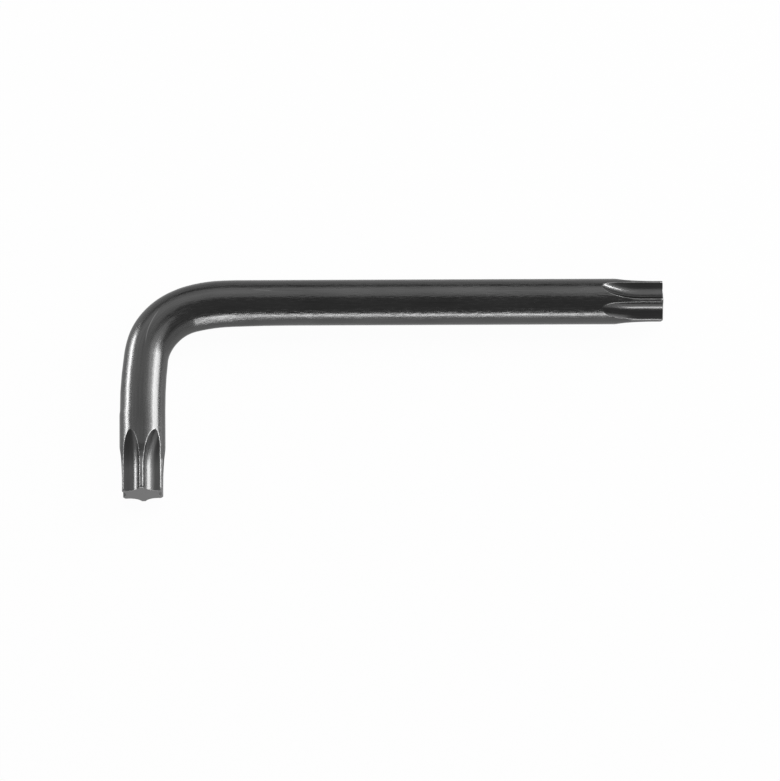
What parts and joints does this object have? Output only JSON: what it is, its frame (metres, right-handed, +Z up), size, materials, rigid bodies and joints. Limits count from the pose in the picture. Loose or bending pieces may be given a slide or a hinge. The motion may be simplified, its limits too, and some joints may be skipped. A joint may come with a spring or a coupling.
{
  "type": "star-drive key",
  "caption": "L-shaped key of round bar, with a hexalobular star tip on the end of each arm, lying flat.",
  "frame": {"origin": "centre of the key's own footprint, at the underside of the bar where it lies on the bench", "axes": "+X along the long arm to its star tip, +Y from the short arm's tip side towards the long arm, +Z up out of the plane of the L"},
  "size_m": [0.082, 0.0338, 0.0069],
  "materials": {
    "key": "black oxide, satin"
  },
  "bodies": {
    "root": {"key": "key"}
  },
  "joints": []
}
